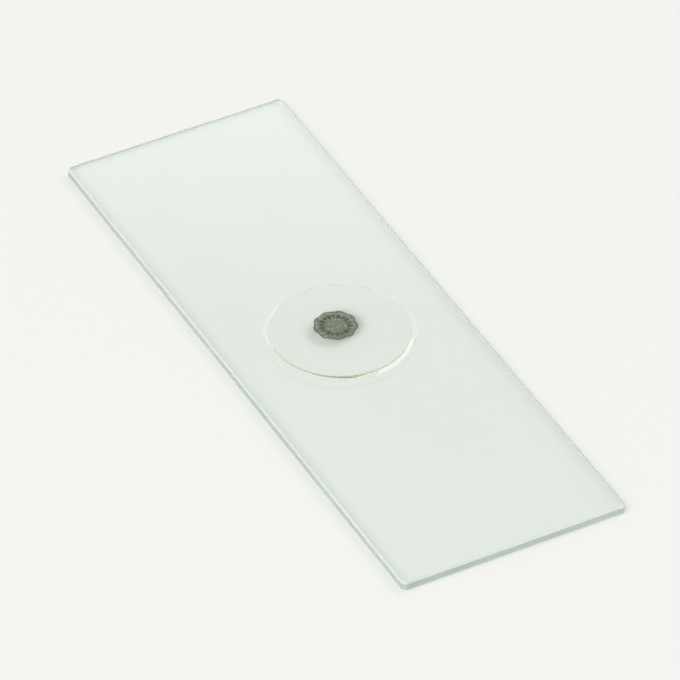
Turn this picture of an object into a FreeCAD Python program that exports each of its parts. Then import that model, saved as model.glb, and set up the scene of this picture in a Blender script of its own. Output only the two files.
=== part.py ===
# A prepared microscope slide: a ground-edge glass slide that carries a stained stem
# section, mounted in clear resin under a round cover glass.
#
# Lengths are in millimetres. The slide lies flat: X runs across it, Y along it and
# Z up, with the origin at the middle of its underside.
import FreeCAD, Part
import math
import os

from FreeCAD import Vector

# Slide glass
slide_length = 76.0
slide_width = 26.0
slide_thickness = 1.1
edge_bevel = 0.2  # 45 degree ground bevel round both faces, measured square to them
corner_seam = 0.4  # the four upright corners, ground off at 45 degrees

# Cover glass
cover_diameter = 15.0
cover_thickness = 0.17
cover_edge_break = 0.02  # the scribed rim's small bevel

# Stained stem section, stuck to the slide glass
section_diameter = 4.8  # over the ridges
section_thickness = 0.05
section_offset = 1.0  # along Y, from the middle of the cover glass
ridge_count = 9
ridge_depth = 0.16  # from a ridge's crest to the groove beside it
points_per_ridge = 6

# Mounting resin
film_over_section = 0.07  # resin between the section and the cover glass
bead_reach = 0.65  # how far the bead spreads past the cover glass
bead_climb = 0.08  # how far it climbs the cover glass's rim
contact_angle = 10.0  # degrees, between the bead's foot and the slide glass

film_thickness = section_thickness + film_over_section
cover_base = slide_thickness + film_thickness  # height of the cover glass's underside
up = Vector(0, 0, 1)


def revolved(outline):
    """The solid that a closed outline in the XZ plane sweeps round the Z axis."""
    return Part.Face(Part.Wire(outline)).revolve(Vector(0, 0, 0), up, 360)


def straight_outline(points):
    """The edges of the closed polygon through (radius, height) points."""
    corners = [Vector(radius, 0, height) for radius, height in points]
    return [Part.makeLine(a, b) for a, b in zip(corners, corners[1:] + corners[:1])]


def is_level(edge):
    """True for an edge that runs parallel to the slide's faces."""
    start, end = edge.Vertexes
    return abs(start.Z - end.Z) < edge_bevel / 2


def make_slide_glass():
    """A plate with seamed corners, then a ground bevel round both of its faces."""
    half_width, half_length = slide_width / 2, slide_length / 2
    outline = []
    for side, end in ((1, -1), (1, 1), (-1, 1), (-1, -1)):
        on_end = Vector(side * (half_width - corner_seam), end * half_length, 0)
        on_side = Vector(side * half_width, end * (half_length - corner_seam), 0)
        outline += [on_end, on_side] if side != end else [on_side, on_end]
    plate = Part.Face(Part.makePolygon(outline + outline[:1])).extrude(up * slide_thickness)
    return plate.makeChamfer(edge_bevel, [edge for edge in plate.Edges if is_level(edge)])


def make_cover_glass():
    """A thin round disc whose rim is broken top and bottom."""
    radius = cover_diameter / 2
    top = cover_base + cover_thickness
    return revolved(straight_outline([
        (0, cover_base),
        (radius - cover_edge_break, cover_base),
        (radius, cover_base + cover_edge_break),
        (radius, top - cover_edge_break),
        (radius - cover_edge_break, top),
        (0, top),
    ]))


def make_specimen_section():
    """A thin cross-section of a ridged stem, lying on the slide glass."""
    crest = section_diameter / 2
    count = ridge_count * points_per_ridge
    points = []
    for step in range(count):
        turn = 2 * math.pi * step / count
        groove = ridge_depth * (1 - math.cos(ridge_count * turn)) / 2
        reach = crest - groove
        across, along = reach * math.sin(turn), reach * math.cos(turn)
        points.append(Vector(across, section_offset + along, slide_thickness))
    outline = Part.BSplineCurve()
    outline.interpolate(points, PeriodicFlag=True)
    return Part.Face(Part.Wire(outline.toShape())).extrude(up * section_thickness)


def make_mounting_medium(cover_glass, specimen_section):
    """Resin under and round the cover glass: a film that ends in a hollow-faced bead."""
    rim = cover_diameter / 2
    top = cover_base + bead_climb
    rise = top - slide_thickness
    foot = Vector(rim + bead_reach, 0, slide_thickness)
    lip = Vector(rim, 0, top)
    chord = lip - foot
    slope = math.atan2(rise, bead_reach)
    sag = chord.Length / 2 * math.tan((slope - math.radians(contact_angle)) / 2)
    hollow = (foot + lip) / 2 + Vector(-rise, 0, -bead_reach).normalize() * sag
    blank = revolved([
        Part.makeLine(Vector(0, 0, slide_thickness), foot),
        Part.Arc(foot, hollow, lip).toShape(),
        Part.makeLine(lip, Vector(0, 0, top)),
        Part.makeLine(Vector(0, 0, top), Vector(0, 0, slide_thickness)),
    ])
    return blank.cut(cover_glass).cut(specimen_section)


def build():
    """Every piece of the slide, by the name of its node."""
    cover_glass = make_cover_glass()
    specimen_section = make_specimen_section()
    return {
        "slide_glass": make_slide_glass(),
        "mounting_medium": make_mounting_medium(cover_glass, specimen_section),
        "specimen_section": specimen_section,
        "cover_glass": cover_glass,
    }


os.makedirs("parts", exist_ok=True)
for node, shape in build().items():
    shape.exportStep(f"parts/{node}.step")
    size = shape.optimalBoundingBox()
    print(f"{node}: {shape.ShapeType}, {len(shape.Solids)} solid, valid {shape.isValid()}, "
          f"{shape.Volume:.3f} mm3, {size.XLength:.2f} x {size.YLength:.2f} x {size.ZLength:.2f}")
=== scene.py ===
import math
import random

import bmesh
import bpy
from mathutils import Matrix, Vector, geometry, noise


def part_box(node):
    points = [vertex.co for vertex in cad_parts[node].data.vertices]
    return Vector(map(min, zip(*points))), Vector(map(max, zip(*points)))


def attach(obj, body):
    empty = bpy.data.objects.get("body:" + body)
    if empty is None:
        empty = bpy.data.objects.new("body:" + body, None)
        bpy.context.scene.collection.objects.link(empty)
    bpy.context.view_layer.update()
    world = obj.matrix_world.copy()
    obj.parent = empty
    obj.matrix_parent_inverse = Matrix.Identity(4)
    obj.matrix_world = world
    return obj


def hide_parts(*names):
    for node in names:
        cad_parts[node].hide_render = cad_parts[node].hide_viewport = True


# A prepared microscope slide, lying flat: a ground-edge glass plate, a stained stem
# section, clear resin and a round cover glass. Everything is in metres.

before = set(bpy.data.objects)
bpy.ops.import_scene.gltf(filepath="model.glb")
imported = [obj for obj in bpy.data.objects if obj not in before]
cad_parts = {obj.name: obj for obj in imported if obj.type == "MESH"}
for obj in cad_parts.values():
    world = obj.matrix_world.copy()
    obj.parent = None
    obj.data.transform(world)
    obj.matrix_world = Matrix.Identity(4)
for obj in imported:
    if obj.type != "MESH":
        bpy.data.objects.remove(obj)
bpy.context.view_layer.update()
plateLow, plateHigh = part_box("slide_glass")
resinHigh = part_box("mounting_medium")[1]
sectionLow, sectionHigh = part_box("specimen_section")
coverLow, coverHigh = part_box("cover_glass")

mm = 0.001
fullTurn = 2 * math.pi
roundSteps = 144  # round the cover glass and the resin
coverEdgeBreak = 0.02 * mm  # the cover glass's small bevel, which the resin fills
skinGap = 0.002 * mm  # keeps bonded faces from lying exactly on each other
tiny = 0.0001 * mm
levelFace = 0.99  # a normal that rises more than this belongs to a level face
uprightFace = 0.3  # and one that rises less than this to an upright face
glassIor = 1.52  # the glasses and the resin bend light alike
white = (1, 1, 1, 1)


# Picking and finishing

def deselectAll():
    if bpy.context.mode != "OBJECT":
        bpy.ops.object.mode_set(mode="OBJECT")
    bpy.ops.object.select_all(action="DESELECT")


def startPiece(name):
    # the primitive just added becomes a piece, open in edit mode with its place in its mesh
    piece = bpy.context.object
    piece.name = name
    bpy.ops.object.transform_apply(location=True, rotation=True, scale=True)
    bpy.ops.object.mode_set(mode="EDIT")
    return piece


def pick(piece, kind, wanted):
    # kind is verts, edges or faces, and wanted tells from one of them if it is picked
    bpy.ops.mesh.select_mode(type={"verts": "VERT", "edges": "EDGE", "faces": "FACE"}[kind])
    bpy.ops.mesh.select_all(action="DESELECT")
    mesh = bmesh.from_edit_mesh(piece.data)
    for item in getattr(mesh, kind):
        if wanted(item):
            item.select_set(True)
    mesh.select_flush_mode()
    bmesh.update_edit_mesh(piece.data)


def pickedVerts(piece):
    return [vert for vert in bmesh.from_edit_mesh(piece.data).verts if vert.select]


def isLevelAt(edge, height):
    return all(abs(vert.co.z - height) < tiny for vert in edge.verts)


def isOpen(edge):
    return len(edge.link_faces) < 2


def isLevel(face):
    return abs(face.normal.z) > levelFace


def isUpright(face):
    return abs(face.normal.z) < uprightFace


def isTop(face):
    return face.normal.z > levelFace


def extrudeEdges(rise):
    bpy.ops.mesh.extrude_edges_move(TRANSFORM_OT_translate={"value": (0, 0, rise)})


def shapeRing(piece, middle, reach):
    # carries each picked point of a ring to its own distance from the middle
    for vert in pickedVerts(piece):
        angle = math.atan2(vert.co.x - middle.x, vert.co.y - middle.y)
        vert.co.x = middle.x + reach(angle) * math.sin(angle)
        vert.co.y = middle.y + reach(angle) * math.cos(angle)
    bmesh.update_edit_mesh(piece.data)


def turnOutward():
    bpy.ops.mesh.select_all(action="SELECT")
    bpy.ops.mesh.normals_make_consistent(inside=False)


def addMaterials(piece, *materials):
    for material in materials:
        piece.data.materials.append(material)


def paint(piece, index, wanted):
    pick(piece, "faces", wanted)
    piece.active_material_index = index
    bpy.ops.object.material_slot_assign()


def finishPiece(piece, node, smoothAngle=30):
    turnOutward()
    deselectAll()
    piece.select_set(True)
    bpy.context.view_layer.objects.active = piece
    bpy.ops.object.shade_smooth_by_angle(angle=math.radians(smoothAngle))
    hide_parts(node)
    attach(piece, "root")
    print(piece.name, "made,", len(piece.data.polygons), "faces")


# Shader groups

marksSpec = {
    "stretch": (1.0, 0.25, 1.0),  # the streaks run along the slide
    "streaks": (0.45, 0.75),  # the part of the noise that shows as streaks
    "detail": 4.0,
}
grainSpec = {
    "grainDetail": 2.0,
    "patchDetail": 4.0,
    "patchRoughness": 0.6,
    "patches": (0.3, 0.7),  # the part of the noise that shows as patches
    "frost": (0.45, 0.7),  # the heights of grain that look frosted
    "height": 0.02 * mm,
}


def newGroup(name, inputs, outputs):
    group = bpy.data.node_groups.new(name, "ShaderNodeTree")
    group.interface.new_socket("Vector", in_out="INPUT", socket_type="NodeSocketVector")
    for label, value in inputs.items():
        socket = group.interface.new_socket(label, in_out="INPUT", socket_type="NodeSocketFloat")
        socket.default_value = value
    for label in outputs:
        group.interface.new_socket(label, in_out="OUTPUT", socket_type="NodeSocketFloat")
    return group, group.nodes.new("NodeGroupInput"), group.nodes.new("NodeGroupOutput")


def connect(tree, value, socket):
    # value is a plain number or colour, or another node's output
    if isinstance(value, (int, float, tuple)):
        socket.default_value = value
    else:
        tree.links.new(value, socket)


def addNoise(tree, vector, scale, detail=3.0, roughness=0.55):
    node = tree.nodes.new("ShaderNodeTexNoise")
    connect(tree, vector, node.inputs["Vector"])
    connect(tree, scale, node.inputs["Scale"])
    connect(tree, detail, node.inputs["Detail"])
    connect(tree, roughness, node.inputs["Roughness"])
    return node.outputs["Fac"]


def addRange(tree, value, low, high, toLow=0.0, toHigh=1.0):
    node = tree.nodes.new("ShaderNodeMapRange")
    connect(tree, value, node.inputs["Value"])
    connect(tree, low, node.inputs["From Min"])
    connect(tree, high, node.inputs["From Max"])
    connect(tree, toLow, node.inputs["To Min"])
    connect(tree, toHigh, node.inputs["To Max"])
    return node.outputs["Result"]


def addMix(tree, share, first, second):
    node = tree.nodes.new("ShaderNodeMix")
    node.data_type = "RGBA"
    factor, colourA, colourB = node.inputs[0], node.inputs[6], node.inputs[7]
    connect(tree, share, factor)
    connect(tree, first, colourA)
    connect(tree, second, colourB)
    return node.outputs[2]


def makeWipeMarks():
    # faint drying streaks, which keep polished glass from looking perfect
    group, start, end = newGroup(
        "Wipe Marks", {"Scale": 60.0, "Least": 0.0, "Most": 0.04}, ("Roughness", "Mask"))
    stretch = group.nodes.new("ShaderNodeMapping")
    stretch.inputs["Scale"].default_value = marksSpec["stretch"]
    group.links.new(start.outputs["Vector"], stretch.inputs["Vector"])
    streaks = addNoise(
        group, stretch.outputs["Vector"], start.outputs["Scale"], marksSpec["detail"])
    mask = addRange(group, streaks, *marksSpec["streaks"])
    rough = addRange(group, mask, 0.0, 1.0, start.outputs["Least"], start.outputs["Most"])
    group.links.new(rough, end.inputs["Roughness"])
    group.links.new(mask, end.inputs["Mask"])
    return group


def makeGroundGrain():
    # the fine, uneven grain that a grinding wheel leaves on glass
    group, start, end = newGroup(
        "Ground Grain", {"Grain Scale": 18000.0, "Patch Scale": 500.0, "Least": 0.35, "Most": 0.6},
        ("Roughness", "Height", "Patches", "Frost"))
    grain = addNoise(
        group, start.outputs["Vector"], start.outputs["Grain Scale"], grainSpec["grainDetail"])
    uneven = addNoise(
        group, start.outputs["Vector"], start.outputs["Patch Scale"], grainSpec["patchDetail"],
        grainSpec["patchRoughness"])
    patches = addRange(group, uneven, *grainSpec["patches"])
    rough = addRange(group, patches, 0.0, 1.0, start.outputs["Least"], start.outputs["Most"])
    group.links.new(rough, end.inputs["Roughness"])
    group.links.new(grain, end.inputs["Height"])
    group.links.new(patches, end.inputs["Patches"])
    group.links.new(addRange(group, grain, *grainSpec["frost"]), end.inputs["Frost"])
    return group


wipeMarks = makeWipeMarks()
groundGrain = makeGroundGrain()
print("shader groups made")


# Glass

def newMaterial(name):
    material = bpy.data.materials.new(name)
    material.use_nodes = True
    tree = material.node_tree
    tree.nodes.clear()
    return material, tree, tree.nodes.new("ShaderNodeOutputMaterial")


def addGroup(tree, group, **values):
    node = tree.nodes.new("ShaderNodeGroup")
    node.node_tree = group
    place = tree.nodes.new("ShaderNodeTexCoord")
    tree.links.new(place.outputs["Object"], node.inputs["Vector"])
    for label, value in values.items():
        node.inputs[label.replace("_", " ")].default_value = value
    return node


def addGlass(tree, colour, roughness, ior=glassIor, through=1.0):
    glass = tree.nodes.new("ShaderNodeBsdfPrincipled")
    connect(tree, colour, glass.inputs["Base Color"])
    connect(tree, roughness, glass.inputs["Roughness"])
    glass.inputs["IOR"].default_value = ior
    glass.inputs["Transmission Weight"].default_value = through
    return glass


def mixShaders(tree, share, first, second):
    mix = tree.nodes.new("ShaderNodeMixShader")
    connect(tree, share, mix.inputs[0])
    tree.links.new(first, mix.inputs[1])
    tree.links.new(second, mix.inputs[2])
    return mix.outputs[0]


def letLampsThrough(tree, output, glass, shadow):
    # light from the lamps passes straight through, so what lies behind the glass is lit
    clear = tree.nodes.new("ShaderNodeBsdfTransparent")
    clear.inputs["Color"].default_value = shadow
    path = tree.nodes.new("ShaderNodeLightPath")
    shader = mixShaders(tree, path.outputs["Is Shadow Ray"], glass.outputs[0], clear.outputs[0])
    tree.links.new(shader, output.inputs["Surface"])


def makePolishedGlass(name, finish):
    material, tree, output = newMaterial(name)
    marks = addGroup(tree, wipeMarks, Scale=finish["markScale"], Most=finish["haze"])
    tint = addMix(tree, marks.outputs["Mask"], finish["tint"], finish["tintInMarks"])
    glass = addGlass(tree, tint, marks.outputs["Roughness"])
    letLampsThrough(tree, output, glass, finish["shadow"])
    return material


def makeGroundGlass(name, finish):
    material, tree, output = newMaterial(name)
    least, most = finish["roughness"]
    grain = addGroup(tree, groundGrain, Least=least, Most=most, Patch_Scale=finish["patchScale"])
    colour = addMix(tree, grain.outputs["Patches"], finish["deep"], finish["pale"])
    colour = addMix(tree, grain.outputs["Frost"], colour, finish["frost"])
    glass = addGlass(tree, colour, grain.outputs["Roughness"], through=finish["through"])
    bump = tree.nodes.new("ShaderNodeBump")
    bump.inputs["Strength"].default_value = finish["bump"]
    bump.inputs["Distance"].default_value = grainSpec["height"]
    tree.links.new(grain.outputs["Height"], bump.inputs["Height"])
    tree.links.new(bump.outputs[0], glass.inputs["Normal"])
    letLampsThrough(tree, output, glass, finish["shadow"])
    return material


def makeBondedFace(name, tint=white):
    # where glass and resin are stuck together, light goes on unbent and no surface shows
    material, tree, output = newMaterial(name)
    glass = addGlass(tree, tint, roughness=0.0, ior=1.0)
    letLampsThrough(tree, output, glass, white)
    return material


# The stem section's outline, which its seat in the resin follows

outlineSpec = {
    "crest": 2.4 * mm,  # middle to the top of a ridge
    "ridges": 9,
    "ridgeDepth": 0.16 * mm,
}
sectionMiddle = Vector((
    (sectionLow.x + sectionHigh.x) / 2, sectionHigh.y - outlineSpec["crest"], 0))


def sectionReach(angle):
    swing = 1 - math.cos(outlineSpec["ridges"] * angle)
    return outlineSpec["crest"] - outlineSpec["ridgeDepth"] * swing / 2


# Mounting resin: a thin film whose bead climbs the cover glass's rim

resinSpec = {
    "contactAngle": math.radians(10),
    "arcSteps": 7,
    "unevenness": 0.3,  # how much narrower the bead gets in places
    "swells": ((1.7, 1.0), (5.0, 0.5)),  # scale and weight of what makes it uneven
    "usualSwell": 0.5,
    "swellStrength": 0.6,
    "tintInFilm": (0.991, 0.9955, 0.975, 1),  # a faint olive
    "finish": {
        "tint": (0.97, 0.97, 0.93, 1), "tintInMarks": (0.96, 0.96, 0.91, 1),
        "markScale": 900.0, "haze": 0.03, "shadow": (0.95, 0.96, 0.93, 1),
    },
}


def beadShare(angle):
    # how far the bead spreads here, as a share of its widest
    way = Vector((math.sin(angle), math.cos(angle), 0))
    swell = sum(weight * noise.noise(way * scale) for scale, weight in resinSpec["swells"])
    swell = resinSpec["usualSwell"] + resinSpec["swellStrength"] * swell
    return 1 - resinSpec["unevenness"] * min(max(swell, 0), 1)


def footReach(angle):
    return coverHigh.x + (resinHigh.x - coverHigh.x) * beadShare(angle)


def beadProfile():
    # the bead's hollow face, an arc that meets the slide glass at the contact angle
    lip, foot = Vector((coverHigh.x, resinHigh.z)), Vector((resinHigh.x, plateHigh.z))
    chord = lip - foot
    flat = resinSpec["contactAngle"]
    halfTurn = math.atan2(chord.y, -chord.x) - flat
    bend = chord.length / 2 / math.sin(halfTurn)
    centre = foot + bend * Vector((math.sin(flat), math.cos(flat)))
    for step in range(1, resinSpec["arcSteps"] + 1):
        lean = flat + 2 * halfTurn * (1 - step / resinSpec["arcSteps"])
        yield centre.x - bend * math.sin(lean), centre.y - bend * math.cos(lean)


def makeResin():
    rim, under, bottom = coverHigh.x - skinGap, coverLow.z - skinGap, plateHigh.z + skinGap
    deselectAll()
    bpy.ops.mesh.primitive_circle_add(
        vertices=roundSteps, radius=rim, location=(0, 0, under + coverEdgeBreak))
    resin = startPiece("mounting_resin")
    # the cover glass's seat, up to the lip of the bead
    bpy.ops.mesh.select_all(action="SELECT")
    extrudeEdges(-coverEdgeBreak)
    shapeRing(resin, Vector(), lambda angle: rim - coverEdgeBreak)
    bpy.ops.mesh.edge_face_add()
    pick(resin, "edges", lambda edge: isLevelAt(edge, under + coverEdgeBreak))
    height = resinHigh.z
    extrudeEdges(height - under - coverEdgeBreak)
    # the bead's face, down to its foot
    for radius, level in beadProfile():
        extrudeEdges(level - height)
        shapeRing(resin, Vector(), lambda angle: rim + (radius - coverHigh.x) * beadShare(angle))
        height = level
    for vert in pickedVerts(resin):
        vert.co.z = bottom
    # the underside, with the section's seat in it
    bpy.ops.mesh.edge_face_add()
    bpy.ops.mesh.inset(thickness=coverEdgeBreak)
    shapeRing(resin, sectionMiddle, lambda angle: sectionReach(angle) + 2 * skinGap)
    bpy.ops.mesh.extrude_region_move(
        TRANSFORM_OT_translate={"value": (0, 0, sectionHigh.z + skinGap - bottom)})
    turnOutward()
    addMaterials(
        resin,
        makePolishedGlass("set resin", resinSpec["finish"]),
        makeBondedFace("resin on glass", resinSpec["tintInFilm"]))
    paint(resin, 1, lambda face: (
        face.calc_center_median().xy.length < rim + tiny or face.normal.z < 0))
    finishPiece(resin, "mounting_medium", smoothAngle=60)


makeResin()


# Cover glass

coverSpec = {
    "glass": {
        "tint": (0.98, 0.995, 0.985, 1), "tintInMarks": (0.965, 0.985, 0.975, 1),
        "markScale": 500.0, "haze": 0.02, "shadow": (0.97, 0.98, 0.975, 1),
    },
    "rim": {
        "deep": (0.63, 0.62, 0.47, 1), "pale": (0.78, 0.77, 0.62, 1),
        "frost": (0.81, 0.80, 0.68, 1), "shadow": (0.7, 0.76, 0.68, 1),
        "patchScale": 800.0, "roughness": (0.2, 0.4), "through": 0.6, "bump": 0.3,
    },
}


def makeCoverGlass():
    deselectAll()
    bpy.ops.mesh.primitive_cylinder_add(
        vertices=roundSteps, radius=coverHigh.x, depth=coverHigh.z - coverLow.z,
        location=(0, 0, (coverLow.z + coverHigh.z) / 2))
    cover = startPiece("cover_disc")
    pick(cover, "edges", lambda edge: (
        isLevelAt(edge, coverLow.z) or isLevelAt(edge, coverHigh.z)))
    bpy.ops.mesh.bevel(offset=coverEdgeBreak, segments=1, affect="EDGES")
    bpy.ops.mesh.select_all(action="SELECT")
    bpy.ops.mesh.bisect(plane_co=(0, 0, resinHigh.z), plane_no=(0, 0, 1))
    addMaterials(
        cover,
        makePolishedGlass("cover glass", coverSpec["glass"]),
        makeGroundGlass("cover glass rim", coverSpec["rim"]),
        makeBondedFace("cover glass on resin"))
    paint(cover, 1, lambda face: not isTop(face))
    paint(cover, 2, lambda face: face.calc_center_median().z < resinHigh.z)
    finishPiece(cover, "cover_glass")


makeCoverGlass()


# Slide glass

plateSpec = {
    "edgeBevel": 0.2 * mm,
    "cornerSeam": 0.4 * mm,
    "cutStep": 1.3 * mm,  # between the cuts that let the bevel's lines wander
    "wander": 0.025 * mm,
    "wanderLength": 7.0 * mm,
    "wanderApart": 9,  # keeps lines above each other from wandering alike
    "glass": {
        "tint": (0.94, 0.968, 0.948, 1), "tintInMarks": (0.928, 0.958, 0.938, 1),
        "markScale": 120.0, "haze": 0.02, "shadow": (0.96, 0.98, 0.97, 1),
    },
    "edge": {
        "deep": (0.49, 0.60, 0.47, 1), "pale": (0.575, 0.725, 0.63, 1),
        "frost": (0.72, 0.80, 0.73, 1), "shadow": (0.5, 0.66, 0.56, 1),
        "patchScale": 130.0, "roughness": (0.35, 0.5), "through": 0.45, "bump": 0.5,
    },
    "bevel": {
        "deep": (0.76, 0.83, 0.77, 1), "pale": (0.87, 0.91, 0.87, 1),
        "frost": (0.96, 0.97, 0.96, 1), "shadow": (0.6, 0.7, 0.64, 1),
        "patchScale": 700.0, "roughness": (0.5, 0.7), "through": 0.2, "bump": 0.8,
    },
}


def cutAcross(axis, low, high):
    count = round((high - low) / plateSpec["cutStep"])
    for cut in range(1, count):
        place, normal = Vector(), Vector()
        place[axis] = low + (high - low) * cut / count
        normal[axis] = 1
        bpy.ops.mesh.select_all(action="SELECT")
        bpy.ops.mesh.bisect(plane_co=place, plane_no=normal)


def wanderLines(plate):
    # a hand-fed wheel never grinds quite straight: the bevel's lines move in, never out
    for vert in bmesh.from_edit_mesh(plate.data).verts:
        place = vert.co.copy()
        along = Vector((place.x, place.y, place.z * plateSpec["wanderApart"]))
        shift = plateSpec["wander"] * noise.noise(along / plateSpec["wanderLength"])
        inward = shift - plateSpec["wander"]
        onFace = min(place.z - plateLow.z, plateHigh.z - place.z) < tiny
        if not onFace:
            vert.co.z += shift
        elif plateHigh.y - abs(place.y) < plateSpec["edgeBevel"] + tiny:
            vert.co.y += math.copysign(inward, place.y)
        elif plateHigh.x - abs(place.x) < plateSpec["edgeBevel"] + tiny:
            vert.co.x += math.copysign(inward, place.x)
    bmesh.update_edit_mesh(plate.data)


def makeSlidePlate():
    deselectAll()
    bpy.ops.mesh.primitive_cube_add(
        size=1, location=(plateLow + plateHigh) / 2, scale=plateHigh - plateLow)
    plate = startPiece("slide_plate")
    pick(plate, "edges", lambda edge: abs(edge.verts[0].co.z - edge.verts[1].co.z) > tiny)
    bpy.ops.mesh.bevel(offset=plateSpec["cornerSeam"], segments=1, affect="EDGES")
    pick(plate, "edges", lambda edge: (
        isLevelAt(edge, plateLow.z) or isLevelAt(edge, plateHigh.z)))
    bpy.ops.mesh.bevel(offset=plateSpec["edgeBevel"], segments=1, affect="EDGES")
    # both faces come off while the edges are cut up, and go back on as whole sheets
    pick(plate, "faces", isLevel)
    bpy.ops.mesh.delete(type="ONLY_FACE")
    cutAcross(1, plateLow.y, plateHigh.y)
    cutAcross(0, plateLow.x, plateHigh.x)
    wanderLines(plate)
    pick(plate, "edges", lambda edge: isOpen(edge) and isLevelAt(edge, plateLow.z))
    bpy.ops.mesh.edge_face_add()
    # the top has the resin's footprint in it
    bpy.ops.mesh.select_all(action="DESELECT")
    bpy.ops.mesh.primitive_circle_add(
        vertices=roundSteps, radius=1, location=(0, 0, plateHigh.z))
    shapeRing(plate, Vector(), footReach)
    pick(plate, "edges", isOpen)
    bpy.ops.mesh.bridge_edge_loops()
    pick(plate, "edges", isOpen)
    bpy.ops.mesh.edge_face_add()
    turnOutward()
    addMaterials(
        plate,
        makePolishedGlass("polished slide glass", plateSpec["glass"]),
        makeGroundGlass("ground slide edge", plateSpec["edge"]),
        makeGroundGlass("ground slide bevel", plateSpec["bevel"]),
        makeBondedFace("slide glass under resin", plateSpec["glass"]["tint"]))
    paint(plate, 1, isUpright)
    paint(plate, 2, lambda face: not isUpright(face) and not isLevel(face))
    paint(plate, 3, lambda face: isTop(face) and len(face.verts) == roundSteps)
    finishPiece(plate, "slide_glass")


makeSlidePlate()


# Stained section: the walls of its cells, cut thin

sectionSpec = {
    "seed": 7,
    "skinDepth": 0.07 * mm,
    "skinCell": 1.3,  # the length of a skin cell, in skin depths
    "skinRings": (("outside", -0.55, 0.0), ("skin", 0.5, 0.15)),  # zone, skin depths in, jitter
    "softFrom": 1.25,  # skin depths in to the first ring of soft tissue
    "smallTo": 3,  # skin depths in to the last of its smaller cells
    "smallCell": 0.65,  # those cells, as a share of the rest
    "softJitter": 0.7,
    "inwardJitter": 0.8,  # how far cells stray in and out, as a share of how far round
    "evensOut": 3,  # the power at which rings lose the ridges towards the middle
    "rowHeight": 0.87,  # from one row to the next, as a share of the cell
    "cortexCell": 0.15 * mm,
    "pithCell": 0.26 * mm,
    "pithReach": 1.05 * mm,
    "woodCell": 0.075 * mm,
    "woodJitter": 0.25,
    "bundleReach": 1.5 * mm,  # from the middle to the middle of a bundle
    "bundleHalfLong": 0.33 * mm,
    "bundleHalfWide": 0.2 * mm,
    "bundleMargin": 0.02 * mm,  # kept free of soft cells
    "smallBundle": 0.72,  # the bundles between the main ones, as a share of their size
    "wallHalves": (0.011 * mm, 0.013 * mm),  # half a wall, in soft tissue and in wood or skin
    "weldWithin": 0.003 * mm,  # corners nearer than this become one
    "leastRoom": 0.020 * mm,  # a cell narrower than this stays solid
    "filledShare": 0.6,  # of the hollow cells, those that keep their contents
    "sinkOfContents": 0.012 * mm,
    "patches": (0.3, 0.7),
    "gloss": 0.2,
    "glancingThrough": 0.95,  # of the light inside the glass, what gets past the section
    "walls": {
        "dark": (0.085, 0.115, 0.075, 1), "pale": (0.15, 0.185, 0.125, 1),
        "patchScale": 1500.0, "roughness": 0.7,
    },
    "wood": {
        "dark": (0.035, 0.05, 0.035, 1), "pale": (0.075, 0.085, 0.055, 1),
        "patchScale": 2500.0, "roughness": 0.7,
    },
    "contents": {
        "dark": (0.175, 0.205, 0.145, 1), "pale": (0.285, 0.315, 0.23, 1),
        "patchScale": 2500.0, "roughness": 0.8,
    },
}


def makeTissue(name, finish):
    material, tree, output = newMaterial(name)
    place = tree.nodes.new("ShaderNodeTexCoord")
    uneven = addNoise(tree, place.outputs["Object"], finish["patchScale"])
    patches = addRange(tree, uneven, *sectionSpec["patches"])
    colour = addMix(tree, patches, finish["dark"], finish["pale"])
    tissue = tree.nodes.new("ShaderNodeBsdfPrincipled")
    tree.links.new(colour, tissue.inputs["Base Color"])
    tissue.inputs["Roughness"].default_value = finish["roughness"]
    tissue.inputs["Specular IOR Level"].default_value = sectionSpec["gloss"]
    # light that glances round inside the glass gets past so thin a section
    clear = tree.nodes.new("ShaderNodeBsdfTransparent")
    path = tree.nodes.new("ShaderNodeLightPath")
    share = addRange(
        tree, path.outputs["Glossy Depth"], 0.0, 1.0, 0.0, sectionSpec["glancingThrough"])
    shader = mixShaders(tree, share, tissue.outputs[0], clear.outputs[0])
    shader = mixShaders(tree, path.outputs["Is Camera Ray"], shader, tissue.outputs[0])
    tree.links.new(shader, output.inputs["Surface"])
    return material


def bundlePlaces():
    # one bundle under each ridge and a smaller one under each groove
    for index in range(2 * outlineSpec["ridges"]):
        size = sectionSpec["smallBundle"] if index % 2 else 1.0
        yield math.pi * index / outlineSpec["ridges"], size


def turned(first, second, angle):
    # two lengths across and along the section, taken along and across a bundle instead
    sine, cosine = math.sin(angle), math.cos(angle)
    return first * sine + second * cosine, first * cosine - second * sine


def inBundle(across, along, margin=0.0):
    for angle, size in bundlePlaces():
        outward, sideways = turned(across, along, angle)
        halfLong = sectionSpec["bundleHalfLong"] * size + margin
        halfWide = sectionSpec["bundleHalfWide"] * size + margin
        longShare = (outward - sectionSpec["bundleReach"]) / halfLong
        wideShare = sideways / halfWide
        if longShare ** 2 + wideShare ** 2 < 1:
            return True
    return False


def stray(rng):
    # a random amount, up to half either way
    return rng.random() - 0.5


def cellRing(rng, depth, spacing, zone, jitter):
    # cell middles at one depth below the outline, where inner rings follow the ridges less
    crest = outlineSpec["crest"]
    count = round(fullTurn * (crest - depth) / spacing)
    turnBy = rng.random()
    for index in range(count):
        angle = fullTurn * (index + turnBy + jitter * stray(rng)) / count
        groove = (crest - sectionReach(angle)) * (1 - depth / crest) ** sectionSpec["evensOut"]
        reach = crest - depth - groove
        reach += sectionSpec["inwardJitter"] * jitter * spacing * stray(rng)
        yield reach * math.sin(angle), reach * math.cos(angle), zone


def skinCells(rng):
    # cells just outside the outline give the skin its outer corners
    skin = sectionSpec["skinDepth"]
    for zone, depth, jitter in sectionSpec["skinRings"]:
        yield from cellRing(rng, depth * skin, sectionSpec["skinCell"] * skin, zone, jitter)


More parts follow.
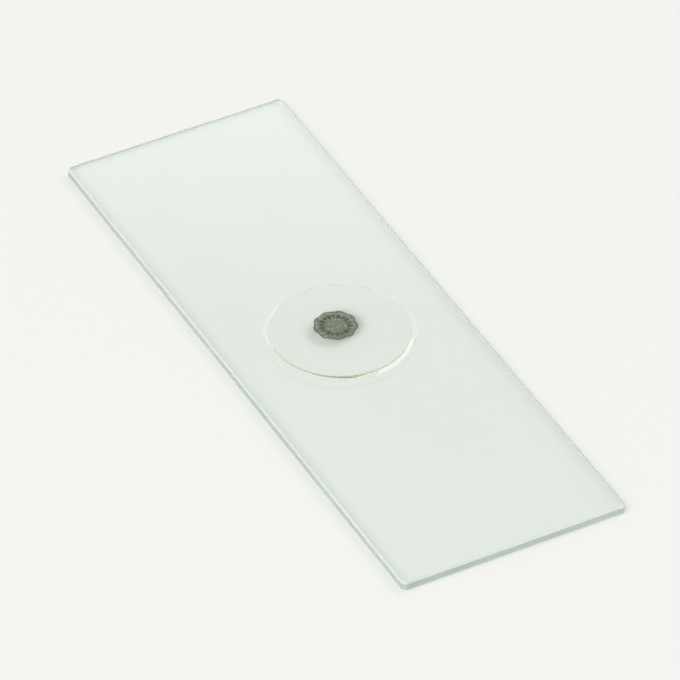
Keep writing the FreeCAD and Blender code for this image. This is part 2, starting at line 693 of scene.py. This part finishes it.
def softCells(rng):
    skin, crest, jitter = sectionSpec["skinDepth"], outlineSpec["crest"], sectionSpec["softJitter"]
    depth = sectionSpec["softFrom"] * skin
    while crest - depth > sectionSpec["pithCell"] / 2:
        inPith = crest - depth < sectionSpec["pithReach"]
        spacing = sectionSpec["pithCell" if inPith else "cortexCell"]
        if depth < sectionSpec["smallTo"] * skin:
            spacing *= sectionSpec["smallCell"]
        for across, along, zone in cellRing(rng, depth, spacing, "soft", jitter):
            if not inBundle(across, along, sectionSpec["bundleMargin"]):
                yield across, along, zone
        depth += sectionSpec["rowHeight"] * spacing


def woodCells(rng):
    # rows like a honeycomb's, every other one half a cell along
    pitch, rowHeight = sectionSpec["woodCell"], sectionSpec["rowHeight"]
    middle, jitter = sectionSpec["bundleReach"], sectionSpec["woodJitter"] * pitch
    rows = int(sectionSpec["bundleHalfLong"] / pitch / rowHeight) + 1
    steps = range(-rows, rows + 1)
    for angle, size in bundlePlaces():
        for row in steps:
            for column in steps:
                outward = rowHeight * row * pitch + middle + jitter * stray(rng)
                sideways = (column + 0.5 * (row % 2)) * pitch + jitter * stray(rng)
                along, across = turned(outward, sideways, math.pi / 2 - angle)
                if inBundle(across, along):
                    yield across, along, "wood"


def cellNet(cells):
    # each cell's corners are the middles of the triangles that join it to its neighbours
    points = [Vector(cell[:2]) / mm for cell in cells]
    nearEnough = 1e-5
    found, _, triangles, origins, _, _ = geometry.delaunay_2d_cdt(points, [], [], 0, nearEnough)
    corners, around = [], {}
    for triangle in triangles:
        owners = [origins[i][0] for i in triangle]
        corner = sum((found[i] for i in triangle), Vector((0, 0))) / 3
        if any(cells[owner][2] == "outside" for owner in owners):
            corner = corner.normalized() * sectionReach(math.atan2(corner.x, corner.y)) / mm
        for owner in owners:
            around.setdefault(owner, []).append(len(corners))
        corners.append(corner)
    faces, zones = [], []
    for owner, ring in around.items():
        if cells[owner][2] != "outside" and len(ring) > 2:
            middle = points[owner]
            ring.sort(key=lambda c: -math.atan2(corners[c].x - middle.x, corners[c].y - middle.y))
            faces.append(ring)
            zones.append(cells[owner][2])
    return corners, faces, zones


def isRoomy(face):
    return 2 * face.calc_area() / face.calc_perimeter() > sectionSpec["leastRoom"]


def layCells(rng, bottom):
    # the net of cells as one flat sheet, open in edit mode
    corners, faces, zones = cellNet([*skinCells(rng), *softCells(rng), *woodCells(rng)])
    mesh = bpy.data.meshes.new("stem_section")
    mesh.from_pydata(
        [(*(sectionMiddle.xy + corner * mm), bottom) for corner in corners], [], faces)
    section = bpy.data.objects.new("stem_section", mesh)
    bpy.context.scene.collection.objects.link(section)
    addMaterials(
        section,
        makeTissue("cell walls", sectionSpec["walls"]),
        makeTissue("wood and skin walls", sectionSpec["wood"]),
        makeTissue("cell contents", sectionSpec["contents"]))
    for face, zone in zip(mesh.polygons, zones):
        face.material_index = 0 if zone == "soft" else 1
    deselectAll()
    section.select_set(True)
    bpy.context.view_layer.objects.active = section
    bpy.ops.object.mode_set(mode="EDIT")
    bpy.ops.mesh.select_all(action="SELECT")
    bpy.ops.mesh.remove_doubles(threshold=sectionSpec["weldWithin"])
    bpy.ops.mesh.delete_loose()
    return section


def openCells(rng, section):
    # insets each cell by its walls, then leaves its contents in or cuts it out
    hollow = [isRoomy(face) for face in bmesh.from_edit_mesh(section.data).faces]

    def isHollow(face):
        return face.index < len(hollow) and hollow[face.index]

    for index, half in enumerate(sectionSpec["wallHalves"]):
        pick(section, "faces", lambda face: isHollow(face) and face.material_index == index)
        bpy.ops.mesh.inset(thickness=half, use_individual=True)
    filled = [rng.random() < sectionSpec["filledShare"] for _ in hollow]
    paint(section, 2, lambda face: isHollow(face) and filled[face.index])
    pick(section, "faces", lambda face: isHollow(face) and not filled[face.index])
    bpy.ops.mesh.delete(type="FACE")


def makeStemSection():
    rng = random.Random(sectionSpec["seed"])
    bottom = plateHigh.z + 2 * skinGap
    section = layCells(rng, bottom)
    openCells(rng, section)
    bpy.ops.object.mode_set(mode="OBJECT")
    thicken = section.modifiers.new("thicken", "SOLIDIFY")
    thicken.thickness = sectionHigh.z - skinGap - bottom
    thicken.offset = 1
    bpy.ops.object.modifier_apply(modifier="thicken")
    bpy.ops.object.mode_set(mode="EDIT")
    pick(section, "faces", lambda face: face.material_index == 2 and isTop(face))
    bpy.ops.transform.translate(value=(0, 0, -sectionSpec["sinkOfContents"]))
    finishPiece(section, "specimen_section")


makeStemSection()


# Floor, light and camera

stageSpec = {
    "floorDrop": 0.03 * mm,
    "floorSize": 9.0,
    "backdrop": (0.93, 0.93, 0.905, 1),
    "fade": (0.10, 0.30),  # the floor turns into a plain backdrop between these distances
    "roomLow": (0.93, 0.93, 0.92, 1),
    "roomBright": (1.45, 1.45, 1.42, 1),
    "roomHigh": (0.20, 0.21, 0.22, 1),
    "brightens": (0.45, 0.55),  # heights in the sky between which the room changes
    "darkens": (0.622, 0.64),
    "worldStrength": 0.5,
    "softboxSize": 1.4,
    "softboxes": {
        "key softbox": {"place": (-1.5, -0.7, 1.9), "power": 34.0},
        "fill softbox": {"place": (1.5, 0.2, 1.8), "power": 16.0},
    },
    "azimuth": -28,
    "elevation": 40,
    "distance": 0.85,
    "lens": 430,  # long, so that the far end hardly narrows
    "bounces": 96,  # light goes round inside the glass many times
    "clearBounces": 64,
    "brightest": 1.5,  # for indirect light, whose stray rays would speckle the bevels
}


def addMath(tree, operation, first, second):
    node = tree.nodes.new("ShaderNodeMath")
    node.operation = operation
    tree.links.new(first, node.inputs[0])
    tree.links.new(second, node.inputs[1])
    return node.outputs[0]


def addRayShare(tree, *rays):
    # one for any of these rays and nothing for the rest
    path = tree.nodes.new("ShaderNodeLightPath")
    total = path.outputs[rays[0]]
    for ray in rays[1:]:
        total = addMath(tree, "MAXIMUM", total, path.outputs[ray])
    return total


def makeFloor():
    deselectAll()
    bpy.ops.mesh.primitive_plane_add(
        size=stageSpec["floorSize"], location=(0, 0, plateLow.z - stageSpec["floorDrop"]))
    floor = bpy.context.object
    floor.name = "floor"
    material, tree, output = newMaterial("pale floor")
    near = tree.nodes.new("ShaderNodeBsdfDiffuse")
    near.inputs["Color"].default_value = stageSpec["backdrop"]
    far = tree.nodes.new("ShaderNodeEmission")
    far.inputs["Color"].default_value = stageSpec["backdrop"]
    place = tree.nodes.new("ShaderNodeTexCoord")
    distance = tree.nodes.new("ShaderNodeVectorMath")
    distance.operation = "LENGTH"
    tree.links.new(place.outputs["Object"], distance.inputs[0])
    fade = addRange(tree, distance.outputs["Value"], *stageSpec["fade"])
    seen = addRayShare(tree, "Is Camera Ray", "Is Glossy Ray", "Is Transmission Ray")
    share = addMath(tree, "MULTIPLY", fade, seen)
    shader = mixShaders(tree, share, near.outputs[0], far.outputs[0])
    tree.links.new(shader, output.inputs["Surface"])
    addMaterials(floor, material)


def makeWorld():
    world = bpy.data.worlds.new("studio")
    bpy.context.scene.world = world
    world.use_nodes = True
    tree = world.node_tree
    tree.nodes.clear()
    output = tree.nodes.new("ShaderNodeOutputWorld")
    place = tree.nodes.new("ShaderNodeTexCoord")
    parts = tree.nodes.new("ShaderNodeSeparateXYZ")
    tree.links.new(place.outputs["Generated"], parts.inputs[0])
    room, light, seen = [tree.nodes.new("ShaderNodeBackground") for _ in range(3)]
    colour = stageSpec["roomLow"]
    for change, above in (("brightens", "roomBright"), ("darkens", "roomHigh")):
        rise = addRange(tree, parts.outputs["Z"], *stageSpec[change])
        colour = addMix(tree, rise, colour, stageSpec[above])
    tree.links.new(colour, room.inputs["Color"])
    light.inputs["Strength"].default_value = stageSpec["worldStrength"]
    seen.inputs["Color"].default_value = stageSpec["backdrop"]
    shader = mixShaders(
        tree, addRayShare(tree, "Is Glossy Ray"), light.outputs[0], room.outputs[0])
    behind = addRayShare(tree, "Is Camera Ray", "Is Transmission Ray")
    shader = mixShaders(tree, behind, shader, seen.outputs[0])
    tree.links.new(shader, output.inputs["Surface"])


def aimAtSlide(item):
    item.rotation_mode = "QUATERNION"
    item.rotation_quaternion = (-item.location).to_track_quat("-Z", "Y")


def addSoftbox(name, place, power):
    lamp = bpy.data.lights.new(name, "AREA")
    lamp.size = stageSpec["softboxSize"]
    lamp.energy = power
    item = bpy.data.objects.new(name, lamp)
    bpy.context.scene.collection.objects.link(item)
    item.location = place
    aimAtSlide(item)


def makeCamera():
    turn, rise = math.radians(stageSpec["azimuth"]), math.radians(stageSpec["elevation"])
    back = Vector((
        math.sin(turn) * math.cos(rise), -math.cos(turn) * math.cos(rise), math.sin(rise)))
    camera = bpy.data.objects.new("camera", bpy.data.cameras.new("camera"))
    bpy.context.scene.collection.objects.link(camera)
    camera.location = back * stageSpec["distance"]
    camera.data.lens = stageSpec["lens"]
    aimAtSlide(camera)
    bpy.context.scene.camera = camera


# the floor's own light skips the glass, which would lie in a hard dark shadow without this
for name in ("slide_plate", "mounting_resin", "cover_disc"):
    bpy.data.objects[name].visible_diffuse = False
makeFloor()
makeWorld()
for name, softbox in stageSpec["softboxes"].items():
    addSoftbox(name, softbox["place"], softbox["power"])
makeCamera()

scene = bpy.context.scene
scene.view_settings.view_transform = "Standard"
scene.cycles.max_bounces = stageSpec["bounces"]
scene.cycles.glossy_bounces = stageSpec["bounces"]
scene.cycles.transmission_bounces = stageSpec["bounces"]
scene.cycles.transparent_max_bounces = stageSpec["clearBounces"]
scene.cycles.sample_clamp_indirect = stageSpec["brightest"]
print("studio made")
